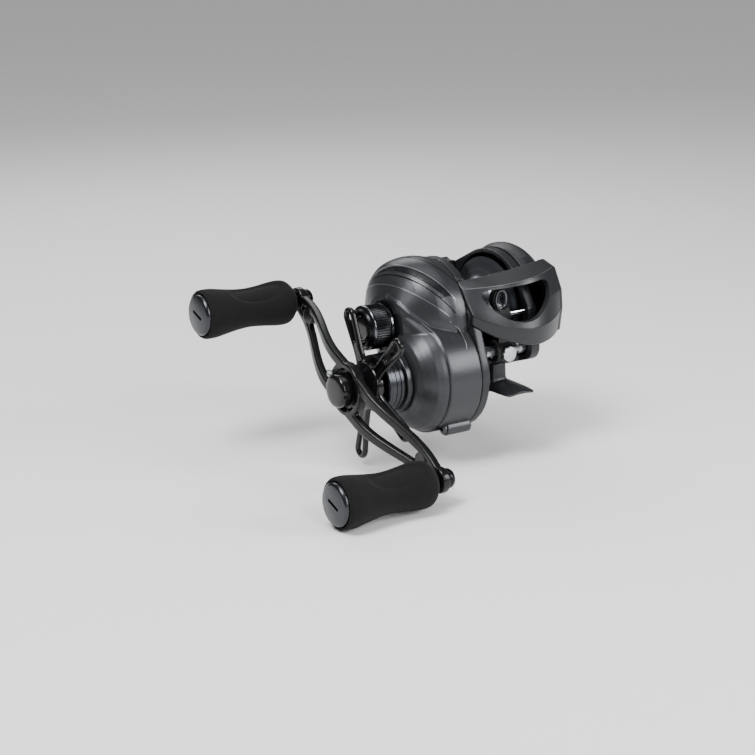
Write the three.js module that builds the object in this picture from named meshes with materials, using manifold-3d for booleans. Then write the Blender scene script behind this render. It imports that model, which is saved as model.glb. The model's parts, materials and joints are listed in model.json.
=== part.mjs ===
// Low-profile baitcasting reel, right-hand wind. Millimetres.
// +X runs from the handle towards the palm side, -Y towards the rod tip (line exit), +Z up.
// The origin is the middle of the foot's saddle, where the reel rests in a rod seat.

import * as THREE from 'three';
import { ConvexGeometry } from 'three/addons/geometries/ConvexGeometry.js';
import { LoftGeometry } from 'three/addons/geometries/LoftGeometry.js';
import { mergeVertices } from 'three/addons/utils/BufferGeometryUtils.js';
import Module from 'manifold-3d';

// ---------- driving dimensions ----------

const GAP = 0.3;                       // clearance between neighbouring pieces

// axes parallel to X, as [y, z]
const SHAFT = [-8, 6];                 // handle, star, drive gear, boss
const SPOOL = [2, 24];                 // spool, pinion, tension cap, brake dial
const WORM = [-19.5, 13.6];            // level-wind worm
const GUIDE_ROD = [-19.8, 27.2];
const REAR = [20, 30];                 // centre of the rounded rear end, around the thumb bar
const POD = [-17.2, 17.2];             // bulge that houses the level-wind gears
const CHIN = [-9.5, 16];               // lower front lobe of the palm side

// stations along X
const GEAR_WALL = [-15.9, -12.6];
const PALM_WALL = [10, 14];
const COVER_BACK = -16.2;              // where the gear cover meets the frame
const RIM_X = -29.8;                   // shoulder of the gear drum
const FLANGE_X = -39.5;                // top of the drum's dome
const LOBE_X = -36.9;                  // top of the lobe under the tension cap
const HOOD_END = 25.6;
const PALM_FACE = 28.6;

// radii
const DRUM_R = 21.1;
const SPOOL_FLANGE_R = 19.2;
const BELLY_R = [20.1, 21.6];
const SIDE_R = 22.2;                   // side plates around the spool axis
const BOSS_R = 10.6;
const CAP_R = 8.2;                     // tension cap
const STAR_R = 29;
const HANDLE_R = 50;                   // shaft to knob axis
const HANDLE_ANGLE = Math.atan2(22.4, 44.7);

// gears
const DRIVE_TEETH = 64;
const PINION_TEETH = 10;
const WORM_DRIVER_TEETH = 32;
const WORM_TEETH = 14;
const PRESSURE = THREE.MathUtils.degToRad(25);
const BACKLASH = 0.16;

// ---------- materials ----------

const finish = (color, metalness, roughness) => ({ color, metalness, roughness });
const FINISHES = {
  housing: finish(0x4b4f55, 0.55, 0.42),
  hood: finish(0x34383d, 0.25, 0.5),
  inlay: finish(0x14171c, 0.2, 0.2),
  black_gloss: finish(0x0d0e10, 0.3, 0.18),
  anodised: finish(0x17191c, 0.7, 0.3),
  spool: finish(0x565b62, 0.8, 0.3),
  steel: finish(0xb9bcc0, 0.95, 0.25),
  brass: finish(0xb08d4a, 0.9, 0.35),
  plastic: finish(0x1b1c1e, 0, 0.55),
  eva: finish(0x121212, 0, 0.95),
  carbon: finish(0x202224, 0.1, 0.6),
  ceramic: finish(0x3a3d42, 0.1, 0.15),
};

// ---------- geometry helpers ----------

const wasm = await Module();
wasm.setup();

const vec = (x, y, z) => new THREE.Vector3(x, y, z);

function signedVolume(position, index) {
  const corner = [0, 1, 2].map(() => vec(0, 0, 0));
  let volume = 0;
  for (let i = 0; i < index.length; i += 3) {
    corner.forEach((c, k) => c.fromArray(position, 3 * index[i + k]));
    volume += corner[0].dot(corner[1].cross(corner[2])) / 6;
  }
  return volume;
}

// a closed three.js geometry as a manifold solid, facing outwards
function solid(geometry) {
  const bare = new THREE.BufferGeometry().copy(geometry);
  bare.deleteAttribute('normal');
  bare.deleteAttribute('uv');
  const merged = mergeVertices(bare, 1e-4);
  const position = merged.attributes.position.array;
  const index = Uint32Array.from(merged.index.array);
  if (signedVolume(position, index) < 0) {
    for (let i = 0; i < index.length; i += 3) {
      [index[i], index[i + 1]] = [index[i + 1], index[i]];
    }
  }
  return new wasm.Manifold(new wasm.Mesh({ numProp: 3, vertProperties: position, triVerts: index }));
}

function geometryOf(body) {
  const mesh = body.getMesh();
  const geometry = new THREE.BufferGeometry();
  geometry.setAttribute('position', new THREE.BufferAttribute(mesh.vertProperties, 3));
  geometry.setIndex(new THREE.BufferAttribute(mesh.triVerts, 1));
  return geometry;
}

const join = (first, ...rest) => rest.reduce((sum, next) => sum.add(next), first);
const cut = (first, ...rest) => rest.reduce((left, next) => left.subtract(next), first);

// a profile of [x, r] points revolved about the line y, z
function turned(profile, [y, z], segments = 24) {
  const lathe = new THREE.LatheGeometry(profile.map(([x, r]) => new THREE.Vector2(r, x)), segments);
  return solid(lathe.rotateZ(-Math.PI / 2).translate(0, y, z));
}

const rod = (x0, x1, r, axis, segments = 24) =>
  turned([[x0, 0], [x0, r], [x1, r], [x1, 0]], axis, segments);

const ring = (x0, x1, rIn, rOut, axis, segments = 24) =>
  turned([[x0, rIn], [x0, rOut], [x1, rOut], [x1, rIn], [x0, rIn]], axis, segments);

// a cylinder along any direction, from one point to another
function bar(from, to, r, segments = 20) {
  const length = from.distanceTo(to);
  const turn = new THREE.Quaternion().setFromUnitVectors(vec(0, 1, 0), to.clone().sub(from).normalize());
  const middle = from.clone().add(to).multiplyScalar(0.5);
  const cylinder = new THREE.CylinderGeometry(r, r, length, segments).applyQuaternion(turn);
  return solid(cylinder.translate(middle.x, middle.y, middle.z));
}

function box([x0, x1], [y0, y1], [z0, z1]) {
  const block = new THREE.BoxGeometry(x1 - x0, y1 - y0, z1 - z0);
  return solid(block.translate((x0 + x1) / 2, (y0 + y1) / 2, (z0 + z1) / 2));
}

function circle(x, [y, z], r, segments = 30) {
  return Array.from({ length: segments }, (_, i) => {
    const a = 2 * Math.PI * i / segments;
    return vec(x, y + r * Math.cos(a), z + r * Math.sin(a));
  });
}

const hull = (...rings) => solid(new ConvexGeometry(rings.flat()));

// the same outline of circles, [centre, r], at two stations, as one plate
const plate = ([x0, x1], circles, segments = 30) =>
  hull(...circles.flatMap(([c, r]) => [circle(x0, c, r, segments), circle(x1, c, r, segments)]));

// closed outlines joined in order; every outline has to run anticlockwise seen from the last one
function loft(sections) {
  const [first, last] = [sections[0], sections[sections.length - 1]];
  const normal = vec(0, 0, 0);
  first.forEach((p, i) => normal.add(p.clone().cross(first[(i + 1) % first.length])));
  const along = last[0].clone().sub(first[0]);
  const ordered = normal.dot(along) < 0 ? sections.map((s) => s.slice().reverse()) : sections;
  return solid(new LoftGeometry(ordered, { capStart: true, capEnd: true }));
}

// a flat shape in the y, z plane, pushed along X
function prism(shape, [x0, x1]) {
  const flat = new THREE.ExtrudeGeometry(shape, { depth: x1 - x0, bevelEnabled: false, curveSegments: 8 });
  const axes = new THREE.Matrix4().makeBasis(vec(0, 1, 0), vec(0, 0, 1), vec(1, 0, 0));
  return solid(flat.applyMatrix4(axes).translate(x0, 0, 0));
}

const shapeOf = (points) => new THREE.Shape(points.map(([u, v]) => new THREE.Vector2(u, v)));

const polar = ([y, z], r, angle) => [y + r * Math.cos(angle), z + r * Math.sin(angle)];
const bearing = (from, to) => Math.atan2(to[1] - from[1], to[0] - from[0]);
const distance = (a, b) => Math.hypot(a[0] - b[0], a[1] - b[1]);

// ---------- the assembly ----------

const reel = new THREE.Group();
reel.name = 'baitcasting_reel';

function part(name, body, look) {
  const mesh = new THREE.Mesh(geometryOf(body), new THREE.MeshStandardMaterial(FINISHES[look]));
  mesh.name = name;
  reel.add(mesh);
}

// ---------- gears ----------

function gear(teeth, modul, axis, phase, [x0, x1], bore, flankSteps) {
  const pitch = modul * teeth / 2;
  const base = pitch * Math.cos(PRESSURE);
  const root = pitch - 1.05 * modul;
  const tip = pitch + 0.72 * modul;
  const involute = (r) => {
    const a = Math.acos(Math.min(1, base / r));
    return Math.tan(a) - a;
  };
  const halfTooth = (r) => Math.PI / (2 * teeth) - BACKLASH / (2 * pitch) + involute(pitch) - involute(Math.max(r, base));
  const outline = [];
  for (let i = 0; i < teeth; i++) {
    const middle = phase + 2 * Math.PI * i / teeth;
    const radii = Array.from({ length: flankSteps + 1 }, (_, k) => root + (tip - root) * k / flankSteps);
    radii.forEach((r) => outline.push(polar(axis, r, middle - halfTooth(r))));
    radii.reverse().forEach((r) => outline.push(polar(axis, r, middle + halfTooth(r))));
  }
  const wheel = prism(shapeOf(outline), [x0, x1]);
  return cut(wheel, rod(x0 - 1, x1 + 1, bore, axis, 20));
}

const driveModule = 2 * distance(SHAFT, SPOOL) / (DRIVE_TEETH + PINION_TEETH);
const windModule = 2 * distance(SHAFT, WORM) / (WORM_DRIVER_TEETH + WORM_TEETH);
const toSpool = bearing(SHAFT, SPOOL);
const toWorm = bearing(SHAFT, WORM);

// ---------- frame ----------

const sideCircles = [[SPOOL, SIDE_R], [REAR, 8.5]];
const gearWallCircles = [[SHAFT, DRUM_R], ...sideCircles, [POD, 6.8], [GUIDE_ROD, 2.4]];
const palmWallCircles = [...sideCircles, [CHIN, 8.6], [WORM, 5.2], [GUIDE_ROD, 2.4]];

// the hood's outer skin: five lines that run across the reel, each a parabola through
// its left, middle and right points
const HOOD_X = [-15.6, 3, 23];
const HOOD_LINES = [
  { y: [-12.5, -14.8, -13.0], z: [40.2, 41.9, 43.8] },      // rear edge of the deck
  { y: [-15.2, -24.3, -19.8], z: [37.6, 39.6, 42.0] },      // crease above the window
  { y: [-19.0, -27.6, -24.0], z: [32.8, 32.5, 34.0] },      // middle of the window
  { y: [-22.4, -31.0, -24.8], z: [29.4, 23.4, 27.0] },      // edge of the bezel
  { y: [-22.2, -30.0, -23.6], z: [25.4, 17.4, 18.4] },      // lower lip
];

function parabola([a, b, c], x) {
  const [xa, xb, xc] = HOOD_X;
  return a * (x - xb) * (x - xc) / ((xa - xb) * (xa - xc))
    + b * (x - xa) * (x - xc) / ((xb - xa) * (xb - xc))
    + c * (x - xa) * (x - xb) / ((xc - xa) * (xc - xb));
}

function hoodSection(x, inset, reach) {
  const at = HOOD_LINES.map(({ y, z }) => [parabola(y, Math.min(x, 23)), parabola(z, Math.min(x, 23))]);
  const [rear, crease, middle, bezel, lip] = at;
  return [
    [rear[0] + reach, rear[1] - inset],
    [crease[0] + inset, crease[1] - inset],
    [middle[0] + inset, middle[1] - 0.3 * inset],
    [bezel[0] + inset, bezel[1]],
    [lip[0] + inset, lip[1] - reach],
    [rear[0] + reach, lip[1] - reach],
  ].map(([y, z]) => vec(x, y, z));
}

function hoodSolid(stations, inset, reach) {
  return loft(stations.map(([x, extra]) => hoodSection(x, inset + extra, reach)));
}

const STATIONS = [-15.6, -12, -8, -4, 0, 4, 8, 12, 16, 20, 23];
const roundedEnd = [[24.4, 0.6], [25.2, 1.5], [HOOD_END, 2.6]];

// the hood as a shell; grown a little, and further outwards, it is the room cut for it elsewhere
function hoodShell(grow, outwards = grow) {
  const start = [[STATIONS[0] - grow, 0], ...STATIONS.slice(1).map((x) => [x, 0])];
  const outer = hoodSolid([...start, ...roundedEnd.map(([x, e]) => [x + grow, e])], -outwards, grow);
  const inner = hoodSolid([[-20, 0], ...start.slice(1), [23.6 - grow, 0]], 1.8 + grow, 9);
  return cut(outer, inner);
}

// the line window, as an outline in the x, z plane
const WINDOW = [[-11.6, 35.2], [-10.4, 37.2], [-3, 38], [6, 38.6], [14, 39.4], [16.8, 38.8],
  [17.4, 35.8], [15, 31.6], [10.6, 27.8], [6, 26], [0, 26], [-5, 28], [-9.4, 31.6]];

function windowCutter() {
  const flat = new THREE.ExtrudeGeometry(shapeOf(WINDOW), { depth: 30, bevelEnabled: false });
  return solid(flat.rotateX(Math.PI / 2).translate(0, -12, 0));
}

function belly() {
  const tube = ring(GEAR_WALL[1] - 1, PALM_WALL[0] + 1, BELLY_R[0], BELLY_R[1], SPOOL, 60);
  const wedge = [SPOOL, polar(SPOOL, 60, 3.86), polar(SPOOL, 80, 4.7), polar(SPOOL, 60, 5.95)];
  return tube.intersect(prism(shapeOf(wedge), [-30, 30]));
}

function frame() {
  const gearWall = plate(GEAR_WALL, gearWallCircles);
  const palmWall = cut(plate(PALM_WALL, palmWallCircles), rod(PALM_WALL[0] - 1, PALM_WALL[1] + 1, 20.6, SPOOL, 40));
  const between = [GEAR_WALL[1] - 1, PALM_WALL[0] + 1];
  const rearBridge = box(between, [22.2, 27.4], [15.5, 25.2]);
  const frontBar = box(between, [-17, -14.2], [7.2, 9.4]);
  const holes = [
    rod(-14.8, -12, 19.9, SPOOL, 40),                       // recess for the spool's gear-side flange
    rod(-17, -12, 5.3, SPOOL),                              // pinion bearing seat
    rod(-17, -13, 5.5, SHAFT),                              // shaft bearing seat
    rod(-17, 15, 2.9, WORM, 24),                            // worm shaft
    box([-17, -12], [22.6, 26.6], [26.2, 37.4]),            // slot of the thumb bar's tab
    hoodShell(GAP, 4),
  ];
  const spoolRoom = rod(-12.6, 10, SPOOL_FLANGE_R + 0.9, SPOOL, 48);
  const crossPieces = cut(join(rearBridge, frontBar), spoolRoom);
  return cut(join(gearWall, palmWall, belly(), crossPieces), ...holes);
}

// ---------- foot ----------

function footSection(y, halfWidth, thickness) {
  const sag = halfWidth * halfWidth / 48;
  const under = [-1, -0.6, -0.25, 0.25, 0.6, 1];
  const arch = under.map((u) => vec(u * halfWidth, y, -sag * Math.max(0, Math.abs(u) - 0.25)));
  const crown = [1, 0.6, 0, -0.6, -1].map((u) => vec(u * halfWidth, y, thickness * (1 - 0.28 * u * u) - sag * Math.abs(u)));
  return [...arch, ...crown];
}

function foot() {
  const blade = loft([
    [-32.2, 5.2, 1.1], [-31.7, 6.1, 1.3], [-27, 6.4, 1.9], [-22, 6.6, 2.1], [-12, 6.9, 2.1], [2, 7, 2.0],
    [16, 6.9, 2.1], [26, 6.5, 1.9], [31.2, 6.0, 1.3], [31.7, 5.2, 1.1],
  ].map(([y, w, t]) => footSection(y, w, t)));
  const pillar = (y0, y1, top) => loft([[-1.2, 1.2], [1.0, 0.9], [top * 0.45, 0.1], [top, 0]].map(([z, flare]) => [
    vec(-3.5 - flare, y0 - flare, Math.max(z, 0.6)), vec(3.5 + flare, y0 - flare, Math.max(z, 0.6)),
    vec(3.5 + flare, y1 + flare, Math.max(z, 0.6)), vec(-3.5 - flare, y1 + flare, Math.max(z, 0.6)),
  ].map((p) => vec(p.x, p.y, z < 0 ? 0.6 : Math.max(p.z, 0.61 + z * 0.2)))));
  const bellyRoom = rod(-20, 20, BELLY_R[1] + GAP, SPOOL, 60);
  const barRoom = box([-20, 20], [-17 - GAP, 0], [7.2 - GAP, 20]);
  return cut(join(blade, pillar(-19, -10, 8.2), pillar(14, 19, 11)), bellyRoom, barRoom);
}

// ---------- gear side cover ----------

const coverCircles = [
  [-17.5, SPOOL, 22.2], [-22, [3, 24.6], 22.8], [-27, [4, 25.4], 21.4],
  [-31, [5, 26.4], 18.4], [-34.4, [4.6, 26], 14.2], [LOBE_X, SPOOL, 11.2],
];

function coverBody(shrink, back, segments) {
  const at = (x, centre, r) => circle(x, centre, r - shrink, segments);
  const upper = hull(...coverCircles.map(([x, centre, r]) => at(x + shrink, centre, r)),
    at(back, SPOOL, SIDE_R), at(back, REAR, 8.5), at(-25 + shrink, REAR, 7.8));
  const drum = turned([
    [back, 0], [back, DRUM_R - shrink], [RIM_X + 0.8 + shrink, DRUM_R - shrink], [RIM_X + shrink, 20.4 - shrink],
    [-33.4 + shrink, 19 - shrink], [-36.4 + shrink, 16.8 - shrink], [-38.4 + shrink, 14.4 - shrink],
    [FLANGE_X + shrink, 12.4 - shrink], [FLANGE_X + shrink, 0],
  ], SHAFT, segments + 8);
  const bridge = hull(at(LOBE_X + shrink, SPOOL, 11), at(-28, SHAFT, 20), at(-30 + shrink, [-3, 15], 13));
  const pod = plate([back, -24 + shrink], [[POD, 6.8 - shrink], [[-14, 20], 6 - shrink]], segments);
  return join(upper, drum, bridge, pod);
}

const SCREW_SPOTS = [polar(SHAFT, 21.6, -0.62 - Math.PI / 2), polar(SHAFT, 21.6, -0.35)];

function gearCover() {
  const bosses = SCREW_SPOTS.map((spot) => rod(-26.5, COVER_BACK, 2.6, spot, 20));
  const neck = rod(-44, LOBE_X + 1, 5.5, SPOOL, 24);
  const holes = [
    rod(-45, -20, 4.2, SPOOL, 24),                         // bore of the neck
    rod(-41, -30, 7.3, SHAFT, 24),                         // bore for the boss
    ...SCREW_SPOTS.flatMap((spot) => [rod(-30, -14, 1.4, spot, 12), rod(-34, -26.5, 2.5, spot, 20)]),
  ];
  const capSeat = rod(-45, LOBE_X, 9.3, SPOOL, 32);
  const outer = cut(join(coverBody(0, COVER_BACK, 30), ...bosses), capSeat);
  return cut(join(cut(outer, coverBody(1.8, COVER_BACK + 2, 20)), neck), ...holes);
}

// ---------- palm side cover ----------

const palmCircles = [[14.4, SPOOL, 22.4], [18.5, [3, 24.6], 23], [22.5, [3, 24.6], 21.8], [26, [3, 24.6], 18.6], [PALM_FACE, [3, 24.2], 14]];

function palmBody(shrink, back) {
  const upper = hull(...palmCircles.map(([x, c, r]) => circle(x - shrink, c, r - shrink)),
    circle(back, REAR, 8.5 - shrink), circle(22 - shrink, REAR, 7.4 - shrink),
    circle(back, CHIN, 8.4 - shrink), circle(22 - shrink, CHIN, 7.6 - shrink), circle(back, SPOOL, 22.4 - shrink));
  return upper;
}

function palmCover() {
  const hoodRoom = box([0, 40], [-60, -12.7], [18.1, 60]);
  const shell = cut(palmBody(0, 14.3), palmBody(1.8, 10));
  const pocket = rod(27.2, 40, 9, SPOOL, 40);
  const hub = ring(13.2, 28, 3, 6.2, SPOOL, 32);
  const seat = rod(10, 16.2, 5.0, SPOOL, 32);
  const spindle = rod(26.8, 29.6, 2.4, SPOOL, 24);
  return cut(join(cut(shell, hoodRoom, pocket), cut(hub, pocket), rod(25.4, 27.2, 9.6, SPOOL, 40), spindle), seat);
}

// ---------- root pieces ----------

part('frame', frame(), 'housing');
part('reel_foot', foot(), 'housing');
part('nose_hood', cut(hoodShell(0), windowCutter()), 'hood');
part('gear_cover', gearCover(), 'housing');

SCREW_SPOTS.forEach((spot, i) => {
  const screw = join(rod(-27.6, -26.8, 2.1, spot, 16), rod(-26.9, -17, 1.1, spot, 16));
  part(`cover_screw_${i + 1}`, screw, 'steel');
});

part('handle_boss', turned([
  [-49, 7.3], [-49, BOSS_R - 0.4], [-48.6, BOSS_R], [-42, BOSS_R], [-42, 11.8], [FLANGE_X - GAP, 11.8], [FLANGE_X - GAP, 7.3], [-49, 7.3],
], SHAFT, 28), 'anodised');
part('roller_clutch', ring(-47, -38, 4.5, 7.0, SHAFT, 32), 'steel');
part('shaft_bearing', ring(-15.6, -13.2, 2.9, 5.2, SHAFT, 20), 'steel');
part('pinion_bearing', ring(-15.6, -13.2, 3.0, 5.0, SPOOL, 20), 'steel');
part('spool_bearing_gear_side', ring(-42.2, -39.8, 1.5, 3.9, SPOOL, 20), 'steel');
part('tension_base_ring', ring(-37.8, LOBE_X - GAP, 6.0, 9.0, SPOOL, 28), 'black_gloss');
part('level_wind_rod', rod(GEAR_WALL[1] + GAP, PALM_WALL[0] - GAP, 1.1, GUIDE_ROD, 16), 'steel');
part('worm_bush_gear_side', ring(-15.4, -13, 1.8, 2.6, WORM, 20), 'plastic');
part('worm_bush_palm_side', ring(10.4, 13.6, 1.8, 2.6, WORM, 20), 'plastic');

// yoke posts and springs stand on the gear-side wall, either side of the pinion
const POST_REACH = 9.5;
const postSpots = [-1, 1].map((side) => polar(SPOOL, side * POST_REACH, toSpool - Math.PI / 2));
postSpots.forEach((spot, i) => {
  part(`yoke_post_${i + 1}`, rod(-24.5, GEAR_WALL[0] - GAP, 0.75, spot, 14), 'steel');
  part(`yoke_spring_${i + 1}`, ring(-24, -20.2, 1.1, 1.8, spot, 18), 'steel');
});

// ---------- handle, turning with the drive gear ----------

const alongHandle = (u, v) => polar([SHAFT[0] - v * Math.sin(HANDLE_ANGLE), SHAFT[1] + v * Math.cos(HANDLE_ANGLE)], u, HANDLE_ANGLE);
const HUB_FACE = -61.6;
const HANDLE_THICK = 3;
const SWEEP = 8;                       // how far the knob ends sit nearer the body than the hub

function sweptX(u) {
  const t = THREE.MathUtils.clamp((Math.abs(u) - 11) / (HANDLE_R - 16), 0, 1);
  return HUB_FACE + SWEEP * t * t * (3 - 2 * t);
}

function beam(side, edge) {
  const stations = Array.from({ length: 9 }, (_, i) => 5 + (HANDLE_R - 6) * i / 8);
  return loft(stations.map((u) => {
    const t = (u - 5) / (HANDLE_R - 6);
    const inner = edge * (4.6 * (1 - t) + 0.6 * t + 1.1 * Math.sin(Math.PI * t));
    const outer = edge * (8.8 * (1 - t) + 3.4 * t + 1.1 * Math.sin(Math.PI * t));
    const x = sweptX(u);
    const corner = (v, dx) => vec(x + dx, ...alongHandle(side * u, v));
    return [corner(inner, 0), corner(outer, 0), corner(outer, HANDLE_THICK), corner(inner, HANDLE_THICK)];
  }));
}

const knobAxes = [alongHandle(HANDLE_R, 0), alongHandle(-HANDLE_R, 0)];
const KNOB_BASE = -56;
const KNOB_END = -95.1;
const EYE = [HUB_FACE + SWEEP, HUB_FACE + SWEEP + HANDLE_THICK];

function handle() {
  const hub = turned([
    [HUB_FACE + 1.6, 0], [HUB_FACE + 1.6, 7.4], [HUB_FACE, 7.4], [HUB_FACE, 9.8], [HUB_FACE + 3.4, 9.8], [HUB_FACE + 5.2, 7], [HUB_FACE + 5.2, 0],
  ], SHAFT, 40);
  const beams = [-1, 1].flatMap((side) => [-1, 1].map((edge) => beam(side, edge)));
  const eyes = knobAxes.map((axis) => rod(...EYE, 4.6, axis, 28));
  const webs = [-1, 1].map((side) => {
    const spot = alongHandle(side * 40, 0);
    return rod(sweptX(40), sweptX(40) + HANDLE_THICK, 3.2, spot, 16);
  });
  const bores = [rod(-70, -50, 2.85, SHAFT, 24), ...knobAxes.map((axis) => rod(-60, -40, 2.2, axis, 24))];
  return cut(join(hub, ...beams, ...eyes, ...webs), ...bores);
}

part('handle', handle(), 'anodised');
part('drive_shaft', turned([
  [-63.4, 0], [-63.4, 2.5], [-18.8, 2.5], [-18.8, 6], [-17.9, 6], [-17.9, 2.5], [-13.3, 2.5], [-13.3, 0],
], SHAFT, 28), 'steel');
part('anti_reverse_sleeve', ring(-49, -27.5, 2.85, 4.1, SHAFT, 28), 'steel');
part('drive_gear', gear(DRIVE_TEETH, driveModule, SHAFT, toSpool, [-22.9, -19.6], 2.85, 1), 'brass');
part('drag_washer_inner', ring(-23.9, -23.2, 3.2, 14.5, SHAFT, 28), 'carbon');
part('drag_plate', ring(-25.0, -24.2, 2.85, 14.8, SHAFT, 28), 'steel');
part('drag_washer_outer', ring(-26.0, -25.3, 3.2, 13.5, SHAFT, 28), 'carbon');
part('pressure_plate', ring(-27.2, -26.3, 2.85, 12, SHAFT, 28), 'steel');
part('level_wind_drive_gear', gear(WORM_DRIVER_TEETH, windModule, SHAFT, toWorm, [-17.6, -16.2], 2.85, 1), 'plastic');
part('handle_nut_cap', turned([
  [-60.3, 3.0], [-60.3, 6.0], [-64.9, 6.06], [-65.6, 5.5], [-65.9, 4.4], [-65.9, 0], [-63.8, 0], [-63.8, 3.0], [-60.3, 3.0],
], SHAFT, 28), 'anodised');

const RETAINER = polar(SHAFT, 8.6, HANDLE_ANGLE + 0.05);
part('retainer_screw', rod(-63.2, HUB_FACE - GAP, 1.15, RETAINER, 16), 'steel');

knobAxes.forEach((axis, i) => {
  const tag = 'ab'[i];
  part(`knob_post_${tag}`, turned([
    [-90, 0], [-90, 1.9], [KNOB_BASE, 1.9], [KNOB_BASE, 2.8], [EYE[0] - GAP, 2.8], [EYE[0] - GAP, 1.9],
    [EYE[1] + GAP, 1.9], [EYE[1] + GAP, 3.6], [-48, 3.2], [-47.4, 2], [-47.4, 0],
  ], axis, 24), 'steel');
});

// ---------- knobs ----------

const KNOB_PROFILE = [[-93.6, 8.6], [-92, 9.0], [-89, 8.9], [-82, 7.8], [-75, 7.1], [-68, 7.6], [-62, 8.3],
  [-58.6, 8.0], [KNOB_BASE - GAP, 5.8]];

knobAxes.forEach((axis, i) => {
  const tag = 'ab'[i];
  part(`grip_${tag}`, turned([...KNOB_PROFILE, [KNOB_BASE - GAP, 4.3], [-89.4, 4.3], [-89.4, 7.9], [-93.6, 7.9], KNOB_PROFILE[0]], axis, 28), 'eva');
  part(`grip_cap_${tag}`, turned([
    [KNOB_END, 0], [KNOB_END, 6.9], [-94.6, 7.5], [-90.3, 7.5], [-90.3, 0],
  ], axis, 24), 'anodised');
  part(`knob_bearing_outer_${tag}`, ring(-89, -86.6, 2.2, 4.0, axis, 16), 'steel');
  part(`knob_bearing_inner_${tag}`, ring(-59, -56.6, 2.2, 4.0, axis, 16), 'steel');
});

// ---------- star drag ----------

const STAR_X = [-52.4, -50.1];
const STAR_ARMS = 5;
const STAR_START = 1.106;              // first arm, from +Y towards +Z

function starArm(angle) {
  const tipR = 3.3;
  const tipAt = STAR_R - tipR;
  const shape = new THREE.Shape();
  shape.moveTo(4, -2.3);
  shape.lineTo(14, -2.3);
  shape.lineTo(tipAt - 1, -tipR);
  shape.absarc(tipAt, 0, tipR, -Math.PI / 2, Math.PI / 2, false);
  shape.lineTo(tipAt - 1, tipR);
  shape.lineTo(14, 2.3);
  shape.lineTo(4, 2.3);
  shape.closePath();
  const slot = new THREE.Path();
  slot.moveTo(15, -0.5);
  slot.lineTo(tipAt, -1.5);
  slot.absarc(tipAt, 0, 1.5, -Math.PI / 2, Math.PI / 2, false);
  slot.lineTo(15, 0.5);
  slot.closePath();
  shape.holes.push(slot);
  const flat = new THREE.ExtrudeGeometry(shape, { depth: STAR_X[1] - STAR_X[0], bevelEnabled: false, curveSegments: 6 });
  const axes = new THREE.Matrix4().makeBasis(vec(0, 1, 0), vec(0, 0, 1), vec(1, 0, 0));
  const turn = new THREE.Matrix4().makeRotationX(angle);
  return solid(flat.applyMatrix4(axes).applyMatrix4(turn).translate(STAR_X[0], ...SHAFT));
}

const starArms = Array.from({ length: STAR_ARMS }, (_, i) => starArm(STAR_START + 2 * Math.PI * i / STAR_ARMS));
const starHub = turned([[-54.6, 0], [-54.6, 5.4], [-52.6, 8.6], [-49.8, 8.6], [-49.8, 0]], SHAFT, 28);
part('star_drag', cut(join(starHub, ...starArms), rod(-60, -45, 2.85, SHAFT, 24)), 'black_gloss');

// ---------- spool tension cap ----------

const capFlutes = Array.from({ length: 24 }, (_, i) => {
  const spot = polar(SPOOL, CAP_R + 0.3, 2 * Math.PI * (i + 0.5) / 24);
  return rod(-45.6, -40, 0.6, spot, 5);
});
part('tension_cap', cut(turned([
  [-46.2, 0], [-46.2, 5.5], [-47.9, 5.9], [-47.9, 6.4], [-46.9, CAP_R], [-38.2, CAP_R], [-38.2, 5.9], [-45.4, 5.9], [-45.4, 0],
], SPOOL, 24), ...capFlutes), 'anodised');
part('tension_cap_insert', rod(-47.4, -46.5, 5.0, SPOOL, 28), 'black_gloss');

// ---------- spool ----------

const SPOOL_OUTER = [[-12, 19], [-11.7, SPOOL_FLANGE_R], [-11, SPOOL_FLANGE_R], [-8.4, 12.6], [-5, 10.3],
  [3, 10.3], [6.2, 12.6], [8.7, SPOOL_FLANGE_R], [9.4, SPOOL_FLANGE_R], [9.6, 19]];
const SPOOL_INNER = [[9.6, 17.6], [7.6, 16], [4.6, 9.4], [-0.4, 9.2], [-0.4, 3.4], [6, 3.4], [6, 1.8],
  [-10.4, 1.8], [-10.4, 3.4], [-2.6, 3.4], [-2.6, 9.2], [-7, 9.4], [-10, 16], [-12, 17.6]];
part('spool', turned([...SPOOL_OUTER, ...SPOOL_INNER, SPOOL_OUTER[0]], SPOOL, 44), 'spool');

const clutchPin = bar(vec(-13.9, SPOOL[0], SPOOL[1] - 2), vec(-13.9, SPOOL[0], SPOOL[1] + 2), 0.45, 12);
part('spool_shaft', join(turned([
  [-44.4, 0], [-44.4, 1.1], [-12.4, 1.1], [-12.4, 1.45], [15, 1.45], [15, 0],
], SPOOL, 24), clutchPin), 'steel');

// ---------- pinion and clutch ----------

const pinionTeeth = gear(PINION_TEETH, driveModule, SPOOL, toSpool + Math.PI + Math.PI / PINION_TEETH, [-24.4, -18.4], 1.5, 3);
const pinionBody = turned([
  [-27, 1.5], [-27, 2.0], [-18.4, 2.0], [-18.4, 2.1], [-16.9, 2.1], [-16.9, 3.4], [-16.1, 3.4], [-16.1, 2.6], [-13.3, 2.6], [-13.3, 1.5], [-27, 1.5],
], SPOOL, 20);
const clutchSlot = box([-14.7, -13], [SPOOL[0] - 0.8, SPOOL[0] + 0.8], [SPOOL[1] - 4, SPOOL[1] + 4]);
part('pinion_gear', cut(join(pinionTeeth, pinionBody), clutchSlot), 'brass');

function yoke() {
  const across = toSpool - Math.PI / 2;
  const pad = (r) => [SPOOL, r];
  const arm = plate([-17.9, -17.3], [...postSpots.map((spot) => [spot, 2.2]), pad(4.4)], 28);
  const mouth = plate([-19, -16], [pad(2.5), [polar(SPOOL, 8, across + Math.PI / 2), 2.5]], 20);
  return cut(arm, mouth, ...postSpots.map((spot) => rod(-19, -16, 1.15, spot, 16)));
}
part('clutch_yoke', yoke(), 'plastic');

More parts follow.
